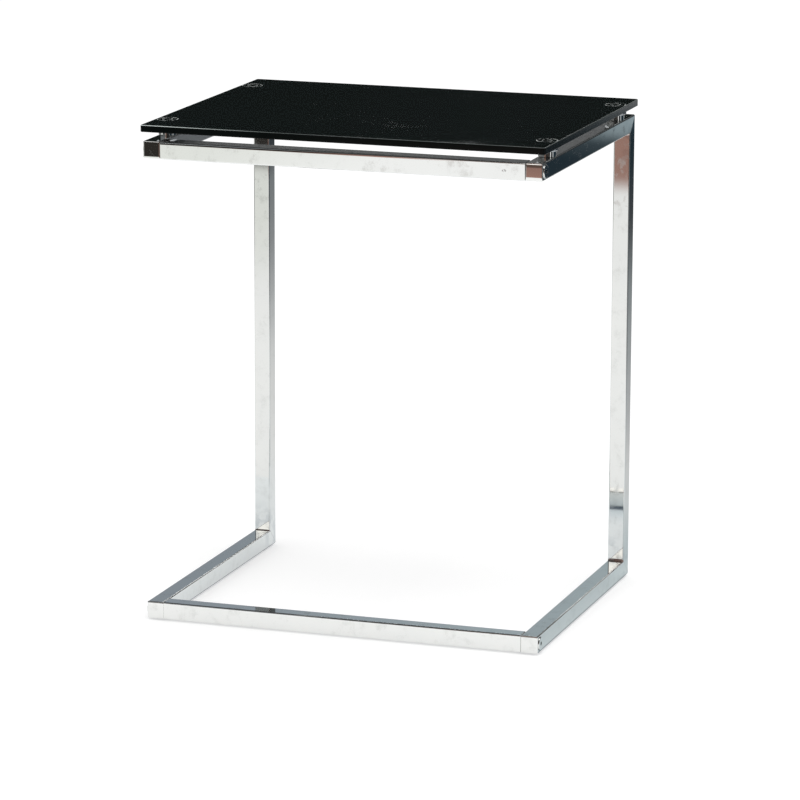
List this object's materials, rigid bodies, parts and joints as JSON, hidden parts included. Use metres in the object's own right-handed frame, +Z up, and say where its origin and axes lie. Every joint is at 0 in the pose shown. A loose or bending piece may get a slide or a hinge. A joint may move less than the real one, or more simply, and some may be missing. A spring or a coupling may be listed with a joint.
{
  "type": "glass side table",
  "caption": "C-shaped side table with a black glass top on chrome spacers, carried by a cantilever frame of mitred square chrome tube with front crossbars.",
  "frame": {"origin": "on the floor, under the middle of the glass top", "axes": "+X to the right seen from the open front, +Y to the rear where the uprights stand, +Z up"},
  "size_m": [0.45, 0.36, 0.545],
  "materials": {
    "black_glass": "polished, dark body tint",
    "chrome": "mirror chrome plate over polished steel",
    "disc_steel": "turned stainless steel",
    "zinc_steel": "zinc plated",
    "glide_nylon": "milky nylon"
  },
  "bodies": {
    "root": {"base_runner_left": "chrome", "base_runner_right": "chrome", "bottom_crossbar": "chrome", "bottom_crossbar_bolt_left": "chrome", "bottom_crossbar_bolt_right": "chrome", "bottom_crossbar_insert_left": "zinc_steel", "bottom_crossbar_insert_right": "zinc_steel", "bottom_end_cap_left": "chrome", "bottom_end_cap_right": "chrome", "fixing_screw_front_left": "chrome", "fixing_screw_front_right": "chrome", "fixing_screw_rear_left": "chrome", "fixing_screw_rear_right": "chrome", "glass_disc_front_left": "disc_steel", "glass_disc_front_right": "disc_steel", "glass_disc_rear_left": "disc_steel", "glass_disc_rear_right": "disc_steel", "glass_top": "black_glass", "glide_front_left": "glide_nylon", "glide_front_right": "glide_nylon", "glide_rear_left": "glide_nylon", "glide_rear_right": "glide_nylon", "spacer_front_left": "chrome", "spacer_front_right": "chrome", "spacer_rear_left": "chrome", "spacer_rear_right": "chrome", "top_arm_left": "chrome", "top_arm_right": "chrome", "top_crossbar": "chrome", "top_crossbar_bolt_left": "chrome", "top_crossbar_bolt_right": "chrome", "top_crossbar_insert_left": "zinc_steel", "top_crossbar_insert_right": "zinc_steel", "top_end_cap_left": "chrome", "top_end_cap_right": "chrome", "upright_left": "chrome", "upright_right": "chrome"}
  },
  "joints": []
}
